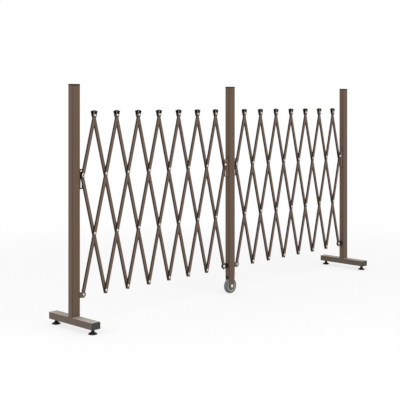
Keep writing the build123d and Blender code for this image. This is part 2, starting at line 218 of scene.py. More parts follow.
def rounded_rectangle(width, depth, radius, steps=4):
    """Outline of a rounded rectangle about the origin, anticlockwise."""
    points = []
    for corner, (side_x, side_y) in enumerate(((1, 1), (-1, 1), (-1, -1), (1, -1))):
        for step in range(steps + 1):
            angle = pi / 2 * (corner + step / steps)
            x = side_x * (width / 2 - radius) + radius * cos(angle)
            y = side_y * (depth / 2 - radius) + radius * sin(angle)
            points.append((x, y))
    return points


def skin(shape, loops, ring=False):
    """Faces between neighbouring loops of vertices. A loop of one vertex is a tip.

    In a ring the last loop meets the first. Otherwise the two end loops are closed.
    """
    following_loops = loops[1:] + loops[:1] if ring else loops[1:]
    for lower, upper in zip(loops, following_loops):
        count = max(len(lower), len(upper))
        for step in range(count):
            following = (step + 1) % count
            if len(lower) == 1:
                shape.faces.new((lower[0], upper[following], upper[step]))
            elif len(upper) == 1:
                shape.faces.new((lower[step], lower[following], upper[0]))
            else:
                shape.faces.new((lower[step], lower[following], upper[following], upper[step]))
    if ring:
        return
    if len(loops[0]) > 1:
        shape.faces.new(list(reversed(loops[0])))
    if len(loops[-1]) > 1:
        shape.faces.new(loops[-1])


def finished_mesh(shape, name, sharp=SHARP):
    """Mesh from the shape, smooth except where faces meet at more than this many degrees."""
    bmesh.ops.recalc_face_normals(shape, faces=shape.faces)
    mesh = bpy.data.meshes.new(name)
    shape.to_mesh(mesh)
    shape.free()
    mesh.shade_smooth()
    mesh.set_sharp_from_angle(angle=radians(sharp))
    return mesh


def lofted(name, rings, shift=(0, 0), sharp=SHARP):
    """Skin over rounded rectangles along z, each given as (height, width, depth, radius)."""
    shape = bmesh.new()
    loops = []
    for height, width, depth, radius in rings:
        outline = rounded_rectangle(width, depth, radius)
        loops.append([shape.verts.new((x + shift[0], y + shift[1], height)) for x, y in outline])
    skin(shape, loops)
    return finished_mesh(shape, name, sharp)


def turned(name, rows, sides=32, sharp=SHARP, ring=False):
    """Skin turned about z, from (radius, height) rows in metres from one end to the other.

    A ring's rows go all the way round its section.
    """
    shape = bmesh.new()
    loops = []
    for radius, height in rows:
        if radius == 0:
            loops.append([shape.verts.new((0, 0, height))])
            continue
        loop = []
        for step in range(sides):
            angle = 2 * pi * step / sides
            loop.append(shape.verts.new((radius * cos(angle), radius * sin(angle), height)))
        loops.append(loop)
    skin(shape, loops, ring)
    return finished_mesh(shape, name, sharp)


def hexagon_head(name, flats, height, flange):
    """Hexagon screw head on a round flange, its top corners turned off, standing on z = 0."""
    shape = bmesh.new()
    across = flats / 2
    flange_top = 0.28 * height
    turns = range(0, 360, 10)
    corners = [across / cos(radians(turn % 60 - 30)) for turn in turns]
    wide = [max(flange, corner) for corner in corners]
    slopes = [height - 0.55 * (corner - across * 0.96) for corner in corners]

    def loop(radii, heights):
        rows = zip(turns, radii, heights)
        points = [(r * cos(radians(turn)), r * sin(radians(turn)), z) for turn, r, z in rows]
        return [shape.verts.new(point) for point in points]

    count = len(turns)
    loops = [
        loop(wide, [0] * count),
        loop(wide, [flange_top * 0.6] * count),
        loop(corners, [flange_top] * count),
        loop(corners, slopes),
        loop([across * 0.92] * count, [height] * count),
    ]
    skin(shape, loops)
    return finished_mesh(shape, name, sharp=30)


def placed(name, data):
    """New object in the scene."""
    made = bpy.data.objects.new(name, data)
    bpy.context.scene.collection.objects.link(made)
    return made


def plate(name, corners, thickness, edge):
    """Flat plate in the x-z plane with rounded edges."""
    curve = bpy.data.curves.new(name, "CURVE")
    curve.dimensions = "2D"
    curve.fill_mode = "BOTH"
    curve.extrude = thickness / 2 - edge
    curve.bevel_depth = edge
    curve.bevel_resolution = 2
    curve.offset = -edge
    spline = curve.splines.new("POLY")
    spline.points.add(len(corners) - 1)
    for point, (x, z) in zip(spline.points, corners):
        point.co = (x, z, 0, 1)
    spline.use_cyclic_u = True
    holder = placed(name, curve)
    bpy.context.view_layer.update()
    mesh = bpy.data.meshes.new_from_object(holder)
    bpy.data.objects.remove(holder)
    bpy.data.curves.remove(curve)
    mesh.transform(TO_FRONT)
    mesh.shade_smooth()
    mesh.set_sharp_from_angle(angle=radians(SHARP))
    return mesh


def profile(rows, up=0.0, out=0.0):
    """Profile from (radius, height) rows in millimetres, counted from a height and a radius."""
    return [(out + radius * MM, up + height * MM) for radius, height in rows]


def both_sides(half, middle=()):
    """Profile that goes on from its front half, by the points in the middle, to its back half."""
    return half + list(middle) + [(radius, -height) for radius, height in reversed(half)]


def insets(width, depth, rows, base=0.0):
    """Rings of a loft from rows in millimetres: height, less width, less depth, radius."""
    return [
        (base + height * MM, width - across * MM, depth - through * MM, radius * MM)
        for height, across, through, radius in rows
    ]


def joined(name, copies):
    """One mesh from several (mesh, matrix) copies."""
    shape = bmesh.new()
    for mesh, place in copies:
        copy = mesh.copy()
        copy.transform(place)
        shape.from_mesh(copy)
        bpy.data.meshes.remove(copy)
    return finished_mesh(shape, name)


def arc(centre, radius, start, end, steps):
    """Points along an arc in the x-z plane, angles in degrees."""
    points = []
    for step in range(steps + 1):
        angle = radians(start + (end - start) * step / steps)
        points.append((centre[0] + radius * cos(angle), centre[1] + radius * sin(angle)))
    return points


def add_piece(name, mesh, body, material, place=Matrix.Identity(4), stands_for=()):
    """Object for one piece of the barrier, riding on its body."""
    if not mesh.materials:
        mesh.materials.append(material)
    piece = placed(name, mesh)
    piece.matrix_world = place
    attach(piece, body)
    if stands_for:
        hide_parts(*stands_for)
    return piece


def finish_node(node, material):
    """Give a carried-over node its finish."""
    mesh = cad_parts[node].data
    mesh.materials.clear()
    mesh.materials.append(material)


# Shader making


def wire(tree, socket, value):
    """Link a socket to another, or set its value."""
    if isinstance(value, bpy.types.NodeSocket):
        tree.links.new(value, socket)
    else:
        socket.default_value = value


def node(tree, kind, inputs=(), **settings):
    """New node with its settings, and with (socket, value or source) pairs as inputs."""
    made = tree.nodes.new(kind)
    for setting, value in settings.items():
        setattr(made, setting, value)
    for socket, value in inputs:
        wire(tree, made.inputs[socket], value)
    return made


def mixed(tree, factor, first, second):
    """Colour mixed from two colours by a factor."""
    mix = node(tree, "ShaderNodeMix", data_type="RGBA")
    for socket, value in ((0, factor), (6, first), (7, second)):
        wire(tree, mix.inputs[socket], value)
    return mix.outputs[2]


def sums(tree, operation, first, second=0.0):
    """Result of a maths node."""
    return node(tree, "ShaderNodeMath", [(0, first), (1, second)], operation=operation).outputs[0]


def stretched(tree, value, low, high, low_out=0.0, high_out=1.0):
    """Value mapped smoothly from one range to another."""
    ranges = [("From Min", low), ("From Max", high), ("To Min", low_out), ("To Max", high_out)]
    inputs = [("Value", value)] + ranges
    made = node(tree, "ShaderNodeMapRange", inputs, interpolation_type="SMOOTHSTEP")
    return made.outputs["Result"]


def noise(tree, place, scale, detail, offset=0.0, roughness=0.5):
    """Noise over the surface. The offset gives each object its own pattern."""
    inputs = [("Vector", place), ("W", offset), ("Scale", scale), ("Detail", detail)]
    inputs.append(("Roughness", roughness))
    return node(tree, "ShaderNodeTexNoise", inputs, noise_dimensions="4D").outputs["Fac"]


def axes(tree, source):
    """X, Y and Z of one kind of texture coordinate."""
    spots = tree.nodes.new("ShaderNodeTexCoord")
    return node(tree, "ShaderNodeSeparateXYZ", [(0, spots.outputs[source])]).outputs


def own_offset(tree, spread):
    """Number that differs from object to object."""
    chance = tree.nodes.new("ShaderNodeObjectInfo").outputs["Random"]
    return sums(tree, "MULTIPLY", chance, spread)


def relief(tree, shader, height, strength):
    """Bump of the fine grain on a surface."""
    inputs = [("Strength", strength), ("Distance", GRAIN_DEPTH), ("Height", height)]
    bump = node(tree, "ShaderNodeBump", inputs)
    wire(tree, shader.inputs["Normal"], bump.outputs[0])


def empty_tree(owner):
    """Node tree of a new material or world, without its first nodes."""
    owner.use_nodes = True
    owner.node_tree.nodes.clear()
    return owner.node_tree


def blend(tree, factor, first, second, output):
    """Mix two shaders and send them to an output node of this kind."""
    inputs = [(0, factor), (1, first.outputs[0]), (2, second.outputs[0])]
    mix = node(tree, "ShaderNodeMixShader", inputs)
    wire(tree, tree.nodes.new(output).inputs["Surface"], mix.outputs[0])


def seen_plainly(tree):
    """Mask of the rays that look at a surface from the camera, off a gloss or through glass."""
    path = tree.nodes.new("ShaderNodeLightPath")
    seen = sums(tree, "MAXIMUM", path.outputs["Is Camera Ray"], path.outputs["Is Glossy Ray"])
    return sums(tree, "MAXIMUM", seen, path.outputs["Is Transmission Ray"])


def surface_grain(group, given):
    """Fine texture of a coat or a moulding, and its slow changes of shade."""
    place = group.nodes.new("ShaderNodeTexCoord").outputs["Object"]
    own = own_offset(group, 40.0)
    fine = noise(group, place, given["Grain"], 2.0, own)
    slow = noise(group, place, 7.0, 4.0, own)
    swing = sums(group, "MULTIPLY", sums(group, "SUBTRACT", slow, 0.5), given["Variation"])
    inputs = [(0, given["Colour"]), ("Scale", sums(group, "ADD", swing, 1.0))]
    shaded = node(group, "ShaderNodeVectorMath", inputs, operation="SCALE")
    return {"Colour": shaded.outputs[0], "Height": fine, "Patches": slow}


def handling_wear(group, given):
    """Light scuffs and rubbed specks, with a mask for the roughness."""
    place = group.nodes.new("ShaderNodeTexCoord").outputs["Object"]
    own = own_offset(group, 25.0)
    drawn_out = [("Vector", place), ("Scale", (1.0, 1.0, 0.18))]
    squeezed = node(group, "ShaderNodeMapping", drawn_out).outputs[0]
    thin = stretched(group, noise(group, squeezed, 240.0, 5.0, own, 0.62), 0.64, 0.74)
    where = stretched(group, noise(group, place, 11.0, 2.0, own), 0.5, 0.72)
    mask = sums(group, "MULTIPLY", sums(group, "MULTIPLY", thin, where), given["Amount"])
    worn = mixed(group, mask, given["Colour"], given["Wear Colour"])
    return {"Colour": worn, "Mask": mask}


def settled_dust(group, given):
    """Dust on faces that look up and, less of it, near the floor; on the base bars it also stands
    for painted light on their upward faces.
    """
    surface = group.nodes.new("ShaderNodeNewGeometry").outputs
    normal = node(group, "ShaderNodeSeparateXYZ", [(0, surface["Normal"])])
    place = node(group, "ShaderNodeSeparateXYZ", [(0, surface["Position"])])
    upward = stretched(group, normal.outputs["Z"], 0.35, 0.95)
    low = stretched(group, place.outputs["Z"], 0.16, 0.0, 0.0, 0.07)
    cloud = stretched(group, noise(group, surface["Position"], 25.0, 4.0), 0.3, 0.7, 0.6, 1.0)
    laid = sums(group, "MULTIPLY", sums(group, "MAXIMUM", upward, low), cloud)
    mask = sums(group, "MULTIPLY", laid, given["Amount"])
    dusted = mixed(group, mask, given["Colour"], given["Dust Colour"])
    return {"Colour": dusted, "Mask": mask}


def edge_shade(group, given):
    """Painted shade along the long edges of a tube, from two coordinates across it that run from 0
    to 1.
    """
    nearness = []
    for socket in ("Across", "Through"):
        off_middle = sums(group, "ABSOLUTE", sums(group, "SUBTRACT", given[socket], 0.5))
        nearness.append(stretched(group, off_middle, 0.36, 0.47))
    edge = sums(group, "MULTIPLY", nearness[0], nearness[1])
    return {"Mask": sums(group, "MULTIPLY", edge, given["Amount"])}


# What draws each shared effect, and the effect's inputs
EFFECTS = {
    "Surface Grain": (surface_grain, {"Colour": GREY, "Grain": 900.0, "Variation": 0.1}),
    "Handling Wear": (handling_wear, {"Colour": GREY, "Wear Colour": GREY, "Amount": 0.3}),
    "Settled Dust": (settled_dust, {"Colour": GREY, "Dust Colour": GREY, "Amount": 0.2}),
    "Edge Shade": (edge_shade, {"Across": 0.5, "Through": 0.5, "Amount": 0.5}),
}


def effect_group(name):
    """New node group of a shared effect. Its outputs are colours and values."""
    draw, defaults = EFFECTS[name]
    group = bpy.data.node_groups.new(name, "ShaderNodeTree")
    for label, default in defaults.items():
        kind = VALUE if isinstance(default, float) else COLOUR
        socket = group.interface.new_socket(label, in_out="INPUT", socket_type=kind)
        socket.default_value = default
    results = draw(group, group.nodes.new("NodeGroupInput").outputs)
    for label, source in results.items():
        kind = VALUE if source.type == "VALUE" else COLOUR
        group.interface.new_socket(label, in_out="OUTPUT", socket_type=kind)
    node(group, "NodeGroupOutput", results.items())
    return group


def effect(tree, name, inputs):
    """Outputs of a shared effect placed in a material. Its group is made the first time."""
    group = bpy.data.node_groups.get(name) or effect_group(name)
    return node(tree, "ShaderNodeGroup", inputs, node_tree=group).outputs


def started_material(name, roughness, metallic=0.0, specular=0.5):
    """New material with its shader set plainly."""
    material = bpy.data.materials.new(name)
    material.use_nodes = True
    shader = material.node_tree.nodes["Principled BSDF"]
    shader.inputs["Roughness"].default_value = roughness
    shader.inputs["Metallic"].default_value = metallic
    shader.inputs["Specular IOR Level"].default_value = specular
    return material, material.node_tree, shader


def grained_and_dusted(tree, colour_in, grain, variation, wear, dust):
    """Outputs of the grain, wear and dust effects, one after the other. Wear may be left out."""
    film = linear(bpy.context.scene.barrier_colours.dust)
    inputs = [("Colour", colour_in), ("Grain", grain), ("Variation", variation)]
    grained = effect(tree, "Surface Grain", inputs)
    worn = grained
    if wear:
        inputs = [("Colour", grained["Colour"]), ("Wear Colour", film), ("Amount", wear)]
        worn = effect(tree, "Handling Wear", inputs)
    inputs = [("Colour", worn["Colour"]), ("Dust Colour", film), ("Amount", dust)]
    return grained, worn, effect(tree, "Settled Dust", inputs)


def make_finish(name, base, roughness, specular, wear, dust, grain, bump):
    """Material with grain, wear and dust over a base colour, or over what base(tree) makes."""
    if name in bpy.data.materials:
        return bpy.data.materials[name]
    material, tree, shader = started_material(name, roughness, specular=specular)
    tone = base(tree) if callable(base) else base
    grained, worn, dusted = grained_and_dusted(tree, tone, grain, SHADE_SWING, wear, dust)
    wire(tree, shader.inputs["Base Color"], dusted["Colour"])
    rubbed = sums(tree, "ADD", worn["Mask"], dusted["Mask"])
    uneven = sums(tree, "ADD", rubbed, grained["Patches"])
    rough = sums(tree, "MULTIPLY", uneven, ROUGHNESS_SWING)
    least = roughness - ROUGHNESS_SWING / 2
    wire(tree, shader.inputs["Roughness"], sums(tree, "ADD", rough, least))
    relief(tree, shader, grained["Height"], bump)
    return material


def powder_coat(name, tone, through="Y", dust=0.6):
    """Fine satin powder coat of a tube, with painted shade along the edges that its two directions
    cross.
    """

    def base(tree):
        place = axes(tree, "Generated")
        across = [("Across", place["X"]), ("Through", place[through]), ("Amount", 1.0)]
        edge = effect(tree, "Edge Shade", across)["Mask"]
        # Painted shade along the tube's long edges, with the faces lifted a little.
        return mixed(tree, edge, linear(tone, 1.08), linear(tone, 0.55))

    return make_finish(name, base, roughness=0.42, specular=0.3, wear=0.14, dust=dust, **COAT)


def bar_coat():
    """Coat of the lattice bars, with painted shade on their narrow sides and towards the edges of
    their faces, and a painted highlight along the middle.
    """
    tones = bpy.context.scene.barrier_colours

    def base(tree):
        # Painted shade: faces that look sideways take the dark bar side tone.
        sideways = stretched(tree, sums(tree, "ABSOLUTE", axes(tree, "Normal")["X"]), 0.3, 0.8)
        off_middle = sums(tree, "ABSOLUTE", axes(tree, "Object")["X"])
        # Painted highlight along the middle of each face, fading to painted shade towards its
        # edges.
        middle = stretched(tree, off_middle, 9 * MM, 3 * MM)
        lit = mixed(tree, middle, linear(tones.bar_coat, 0.55), linear(tones.bar_coat, 1.3))
        return mixed(tree, sideways, lit, linear(tones.bar_side))

    look = {**COAT, "bump": 0.2, "wear": 0.14, "dust": 0.25}
    return make_finish("Bar Coat", base, roughness=0.45, specular=0.22, **look)


def moulded_plastic(name, tone, roughness, specular=0.4, dust=0.15):
    """Plastic with the fine grain of its mould."""
    return make_finish(name, linear(tone), roughness, specular, wear=0.12, dust=dust, **MOULDING)


def sleeve_plastic(name, highlight_tone):
    """Black plastic of the caps on the bars, with a painted highlight along two of their rounded
    edges.
    """
    tone = bpy.context.scene.barrier_colours.sleeve_plastic

    def base(tree):
        normal = axes(tree, "Normal")
        # Painted highlight on the rounded edges that face front left and back right.
        edge = stretched(tree, sums(tree, "MULTIPLY", normal["X"], normal["Y"]), 0.08, 0.3)
        return mixed(tree, edge, linear(tone), linear(highlight_tone))

    return make_finish(name, base, roughness=0.38, specular=0.1, wear=0.06, dust=0.1, **MOULDING)


def dark_coat():
    """Dark satin coat of most screws, and painted shade on the rear pivot brackets behind the bars.
    """
    tone = linear(bpy.context.scene.barrier_colours.bracket_coat)
    return make_finish("Dark Coat", tone, roughness=0.4, specular=0.25, wear=0.2, dust=0.2, **COAT)


def slide_bracket_coat():
    """Satin coat of the slotted brackets, with painted shade behind the bars and on the front
    plates' rims.
    """
    tones = bpy.context.scene.barrier_colours
    # Here the dark bracket tone is painted shade.
    dark = linear(tones.bracket_coat)

    # Painted shade: faces behind the bars and the front plates' rims take the dark tone, the rest
    # the post coat.
    def base(tree):
        sideways = stretched(tree, sums(tree, "ABSOLUTE", axes(tree, "Normal")["X"]), 0.6, 0.95)
        in_front = stretched(tree, axes(tree, "Object")["Y"], -6 * MM, -8 * MM)
        plain = sums(tree, "MAXIMUM", sideways, in_front)
        coated = mixed(tree, plain, dark, linear(tones.post_coat, 1.1))
        return mixed(tree, sums(tree, "MULTIPLY", sideways, in_front), coated, dark)

    name = "Slide Bracket Coat"
    return make_finish(name, base, roughness=0.4, specular=0.3, wear=0.2, dust=0.2, **COAT)


def zinc_plate():
    """Bright zinc plate of the rivets, washers, pins and stems."""
    if "Zinc Plate" in bpy.data.materials:
        return bpy.data.materials["Zinc Plate"]
    material, tree, shader = started_material("Zinc Plate", 0.3, metallic=1.0)
    tone = linear(bpy.context.scene.barrier_colours.zinc)
    amounts = {"grain": 700.0, "variation": 0.3, "wear": 0, "dust": 0.15}
    grained, _, dusted = grained_and_dusted(tree, tone, **amounts)
    wire(tree, shader.inputs["Base Color"], dusted["Colour"])
    rough = stretched(tree, grained["Patches"], 0.2, 0.8, 0.2, 0.42)
    wire(tree, shader.inputs["Roughness"], rough)
    relief(tree, shader, grained["Height"], 0.12)
    return material


def tyre_rubber():
    """Matt rubber of the tyre, dusty where it meets the floor."""
    tone = linear(bpy.context.scene.barrier_colours.tyre)
    look = {"grain": 800.0, "bump": 0.35, "wear": 0.3, "dust": 0.55}
    return make_finish("Tyre Rubber", tone, roughness=0.7, specular=0.35, **look)


# Lattice


def lattice_bars():
    """All bars of both panels. Front bars lean to the right, and back bars to the left."""
    sizes = bpy.context.scene.barrier_sizes
    panel = sizes.fields_per_panel
    top = sizes.fields_per_bar
    pitch = 2 * sizes.field_length * sin(sizes.rest_lean)
    layer_y = (sizes.layer_gap + sizes.bar_thickness) / 2
    bars = []
    for side, post in (("left", "left_post"), ("right", "centre_post")):
        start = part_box(post)[1].x + sizes.pivot_reach
        for number in range(panel + 1):
            for layer in ("front", "back"):
                in_front = layer == "front"
                index = number - 1 if in_front else number + 1
                first = max(0, -2 * index if in_front else 2 * (index - panel))
                last = min(top, 2 * (panel - index) if in_front else 2 * index)
                step = 0.5 if in_front else -0.5
                levels = range(first, last + 1)
                at_posts = [level for level in levels if index + step * level in (0, panel)]
                crossings = [level for level in levels if level not in at_posts]
                y = -layer_y if in_front else layer_y
                foot = Vector((start + index * pitch, y, sizes.pivot_height))
                lean = sizes.rest_lean if in_front else -sizes.rest_lean
                name = f"{side}_{layer}_bar_{number + 1}"
                bars.append(Bar(name, foot, lean, first, last, crossings, at_posts))
    return bars


def bar_place(bar):
    """Matrix from a bar's own frame, with z along it and its lowest row at zero."""
    return Matrix.Translation(bar.foot) @ Matrix.Rotation(bar.lean, 4, "Y")


def bar_ends(bar):
    """Both ends of a bar along it, plugs included and the sleeve cap left out."""
    sizes = bpy.context.scene.barrier_sizes
    start = bar.first * sizes.field_length - sizes.end_extension
    capped = bar.last == sizes.fields_per_bar
    beyond = sizes.top_extension if capped else sizes.end_extension
    return start, bar.last * sizes.field_length + beyond, capped


def pivot_place(bar, level):
    """Matrix in a bar's frame of a pivot's axis, with z to the front from between the layers."""
    sizes = bpy.context.scene.barrier_sizes
    return Matrix.Translation((0, -bar.foot.y, level * sizes.field_length)) @ TO_FRONT


class BARRIER_OT_bars(bpy.types.Operator):
    """Make the flat tubes of the lattice and the plugs in their open ends"""

    bl_idname = "barrier.bars"
    bl_label = "Lattice Bars"

    def execute(self, context):
        sizes = context.scene.barrier_sizes
        width = sizes.bar_width
        depth = sizes.bar_thickness
        radius = sizes.bar_edge_radius
        coat = bar_coat()
        plastic = moulded_plastic("End Plastic", context.scene.barrier_colours.end_plastic, 0.4)
        tubes = {}
        for bar in lattice_bars():
            start, end, capped = bar_ends(bar)
            low = start + sizes.plug_thickness
            high = end if capped else end - sizes.plug_thickness
            kind = (bar.first, bar.last)
            if kind not in tubes:
                cut = (width - 2 * CUT_EDGE, depth - 2 * CUT_EDGE, radius - CUT_EDGE)
                rings = [
                    (low, *cut),
                    (low + CUT_EDGE, width, depth, radius),
                    (high - CUT_EDGE, width, depth, radius),
                    (high, *cut),
                ]
                tubes[kind] = lofted(f"bar_tube_{bar.first}_{bar.last}", rings)
            place = bar_place(bar)
            tube = f"{bar.name}_tube"
            add_piece(tube, tubes[kind], bar.name, coat, place, [bar.name])
            plugs = []
            for outer, inner in [(start, low)] if capped else [(start, low), (end, high)]:
                bulge = (inner - outer) * 0.35
                rings = [
                    (outer, width - 5 * MM, depth - 4 * MM, radius * 0.6),
                    (outer + bulge * 0.4, width - 1.6 * MM, depth - 1.4 * MM, radius),
                    (outer + bulge, width - 0.4 * MM, depth - 0.4 * MM, radius),
                    (inner, width - 0.2 * MM, depth - 0.2 * MM, radius),
                ]
                plugs.append((lofted(f"{bar.name}_plug", rings), Matrix.Identity(4)))
            mesh = joined(f"{bar.name}_plugs", plugs)
            add_piece(f"{bar.name}_plugs", mesh, bar.name, plastic, place)
        return {"FINISHED"}


class BARRIER_OT_sleeve_caps(bpy.types.Operator):
    """Make the flared caps over the upper ends of the bars"""

    bl_idname = "barrier.sleeve_caps"
    bl_label = "Sleeve Caps"

    def execute(self, context):
        tones = context.scene.barrier_colours
        kinds = {}
        for bar in lattice_bars():
            end, capped = bar_ends(bar)[1:]
            if not capped:
                continue
            layer = "front" if bar.lean > 0 else "back"
            if layer not in kinds:
                # Front caps get the painted highlight; on the back caps it is the plain black.
                highlight_tone = tones.sleeve_edge if layer == "front" else tones.sleeve_plastic
                plastic = sleeve_plastic(f"{layer.title()} Sleeve Plastic", highlight_tone)
                kinds[layer] = (self.cap(layer, end), plastic)
            cap, plastic = kinds[layer]
            piece = f"{bar.name}_sleeve_cap"
            add_piece(piece, cap, bar.name, plastic, bar_place(bar))
        return {"FINISHED"}

    def cap(self, layer, end):
        """Cap over a bar's end, a little thicker than the bar so that it covers both its faces."""
        sizes = bpy.context.scene.barrier_sizes
        wall = sizes.sleeve_wall
        width = sizes.bar_width + 2 * wall
        depth = sizes.bar_thickness + wall + 2 * SLEEVE_COVER
        top = end + sizes.sleeve_top
        low = top - sizes.sleeve_length
        away = (wall / 2 - SLEEVE_COVER) * (-1 if layer == "front" else 1)
        straight = [(0, 0.9, 0.9, 1.4), (0.4, 0.1, 0.1, 1.8), (20, 0, 0.05, 2.2)]
        rings = insets(width, depth, straight, low)
        flared = [(-3.6, 0.4, 0, 2.4), (-1.2, 0, 0, 2.2), (-0.4, 0.6, 0.6, 1.5)]
        rings += insets(width + sizes.sleeve_flare, depth, flared, top)
        rings += insets(width, depth, [(-0.1, 1.4, 2, 1.2)], top)
        rings.append((top, 3 * MM, 2 * MM, 0.9 * MM))
        return lofted(f"sleeve_cap_{layer}", rings, (0, away), sharp=50)


class BARRIER_OT_rivets(bpy.types.Operator):
    """Make the rivets that join the two layers of bars at their crossings"""

    bl_idname = "barrier.rivets"
    bl_label = "Rivets"

    def execute(self, context):
        sizes = context.scene.barrier_sizes
        face = sizes.layer_gap / 2 + sizes.bar_thickness
        plain = self.rivet("rivet", face)
        capped = self.rivet("capped_rivet", face + sizes.sleeve_wall)
        zinc = zinc_plate()
        sets = {}
        for bar in lattice_bars():
            if bar.lean < 0 or not bar.crossings:
                continue
            kind = tuple(bar.crossings)
            if kind not in sets:
                copies = []
                for level in bar.crossings:
                    rivet = capped if level == sizes.fields_per_bar else plain
                    copies.append((rivet, pivot_place(bar, level)))
                sets[kind] = joined("rivets_" + "_".join(str(level) for level in kind), copies)
            piece = f"{bar.name}_rivets"
            add_piece(piece, sets[kind], bar.name, zinc, bar_place(bar))
        return {"FINISHED"}

    def rivet(self, name, face):
        """Rivet whose head and tail lie on faces this far from between the layers."""
        sizes = bpy.context.scene.barrier_sizes
        head = sizes.rivet_head / 2 / MM
        tail = sizes.rivet_tail / 2 / MM
        hollow = [(0, -0.7), (1.4, -0.7), (2.2, -1.3)]
        rolled = [(tail - 0.9, -1.3), (tail - 0.2, -0.9), (tail, 0), (2.5, 0)]
        rim = [(2.5, 0), (head, 0), (head, 0.3), (head * 0.93, 0.7), (head * 0.75, 1.1)]
        dome = [(head * 0.5, 1.4), (head * 0.2, 1.55), (0, 1.6)]
        rows = profile(hollow + rolled, -face) + profile(rim + dome, face)
        return turned(name, rows, sides=24)


class BARRIER_OT_slide_pins(bpy.types.Operator):
    """Make the pins that run in the slots of the tall brackets"""

    bl_idname = "barrier.slide_pins"
    bl_label = "Slide Pins"

    def execute(self, context):
        sizes = context.scene.barrier_sizes
        face = sizes.layer_gap / 2 + sizes.bar_thickness
        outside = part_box("left_slide_bracket")[1].y + 0.5 * MM
        washer = sizes.pin_washer / 2 / MM
        head = [(0, -1.8), (4.6, -1.8), (6, -1.3), (6, 0), (3, 0)]
        rim = [(3, 0), (washer, 0), (washer, 1.2), (washer - 0.4, 1.5), (4.6, 1.5)]
        middle = [(4.4, 1.2), (3.9, 1.2), (3.7, 1.5), (0, 1.7)]
        rear_rows = profile(head, -outside) + profile(rim + middle, face)
        rear_plate_pin = turned("slide_pin", rear_rows)
        tail = [(0, -1.2), (3.4, -1.2), (4.2, -0.8), (4.2, 0), (3, 0)]
        dome = [(3, 0), (6.9, 0), (6.9, 0.9), (6.4, 1.6), (4.8, 2.3), (2.4, 2.7), (0, 2.8)]
        front_rows = profile(tail, -face) + profile(dome, outside)
        front_plate_pin = turned("slide_pin_in_front", front_rows)
        cup = [(4.3, 1.2), (4.3, 2.2), (3.6, 3), (2, 3.3), (1.6, 2.4), (0, 2.4)]
        centre = turned("slide_pin_centre", profile(cup, face))
        zinc = zinc_plate()
        dark = moulded_plastic("Pin Plastic", context.scene.barrier_colours.cap_plastic, 0.35)
        for bar in lattice_bars():
            if bar.lean < 0 or not any(bar.post_pivots):
                continue
            place = bar_place(bar) @ pivot_place(bar, max(bar.post_pivots))
            at_left_end = bar.first > 0
            pin = rear_plate_pin if at_left_end else front_plate_pin
            add_piece(f"{bar.name}_slide_pin", pin, bar.name, zinc, place)
            if at_left_end:
                piece = f"{bar.name}_pin_centre"
                add_piece(piece, centre, bar.name, dark, place)
        return {"FINISHED"}


# Posts and what is on them


class BARRIER_OT_posts(bpy.types.Operator):
    """Finish the posts and the base bars, and lay the weld beads between them"""

    bl_idname = "barrier.posts"
    bl_label = "Posts and Base Bars"

    def execute(self, context):
        tones = context.scene.barrier_colours
        coat = powder_coat("Post Coat", tones.post_coat)
        # The heavy dust amount also paints the base bars' top faces lighter, as light from above.
        base_coat = powder_coat("Base Coat", tones.base_coat, through="Z", dust=0.9)
        for name, _ in POSTS:
            finish_node(f"{name}_post", coat)
        for side in SIDES:
            finish_node(f"{side}_base_bar", base_coat)
            beads = self.weld_beads(side)
            add_piece(f"{side}_weld_beads", beads, f"{side}_stand", coat)
        return {"FINISHED"}

    def weld_beads(self, side):
        """Rippled beads before and behind a post's foot, thinner towards their ends."""
        low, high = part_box(f"{side}_post")
        half = (high.x - low.x) / 2 - WELD_LEG
        foot = low.z - WELD_SINK
        angles = [radians(15 * turn) for turn in range(7)]
        shape = bmesh.new()
        for face_y, away in ((low.y, -1), (high.y, 1)):
            loops = []
            for step in range(WELD_STEPS + 1):
                share = step / WELD_STEPS
                x = (low.x + high.x) / 2 + half * (2 * share - 1)
                ripple = 1 + 0.1 * sin(step * 1.9) + 0.05 * sin(step * 0.7)
                leg = WELD_LEG * min(1.0, 6 * min(share, 1 - share) + 0.25) * ripple
                points = [(leg * (1 - 0.8 * sin(a)), leg * (1 - 0.8 * cos(a))) for a in angles]
                points.append((-0.3 * MM, 0))
                corners = [(x, face_y + away * out, foot + rise) for out, rise in points]
                loops.append([shape.verts.new(corner) for corner in corners])
            skin(shape, loops)
        return finished_mesh(shape, f"{side}_weld_beads", sharp=60)


